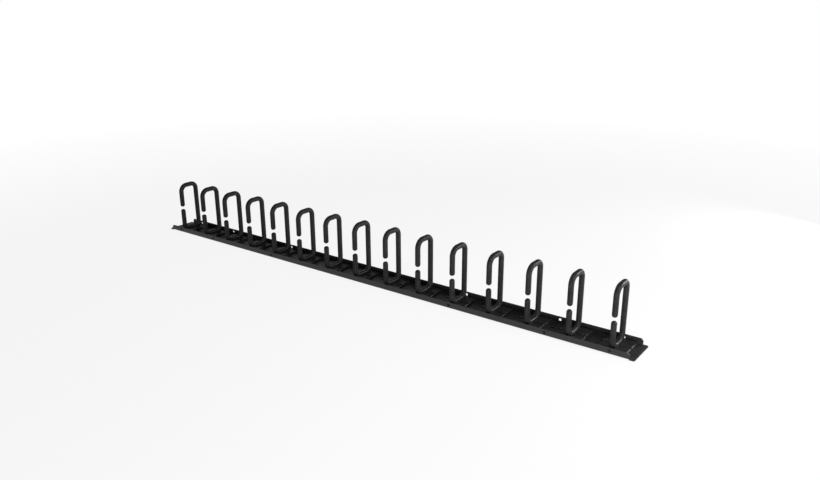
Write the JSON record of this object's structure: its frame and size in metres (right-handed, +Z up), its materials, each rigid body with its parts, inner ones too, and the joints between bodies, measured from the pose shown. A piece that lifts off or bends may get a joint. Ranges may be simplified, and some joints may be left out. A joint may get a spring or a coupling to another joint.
{
  "type": "vertical cable manager",
  "caption": "Long folded-steel tray with low side walls and a row of open plastic D-rings that hold cables along the side of a rack.",
  "frame": {"origin": "centre of the tray's flat underside", "axes": "+X along the tray, +Y across it away from the ring mouths, +Z up through the rings"},
  "size_m": [0.9144, 0.05, 0.0916],
  "materials": {
    "coated_steel": "fine satin powder coat",
    "ring_plastic": "semi-gloss moulded plastic"
  },
  "bodies": {
    "root": {"tray": "coated_steel", "d_ring_01": "ring_plastic", "d_ring_02": "ring_plastic", "d_ring_03": "ring_plastic", "d_ring_04": "ring_plastic", "d_ring_05": "ring_plastic", "d_ring_06": "ring_plastic", "d_ring_07": "ring_plastic", "d_ring_08": "ring_plastic", "d_ring_09": "ring_plastic", "d_ring_10": "ring_plastic", "d_ring_11": "ring_plastic", "d_ring_12": "ring_plastic", "d_ring_13": "ring_plastic", "d_ring_14": "ring_plastic", "d_ring_15": "ring_plastic"}
  },
  "joints": []
}
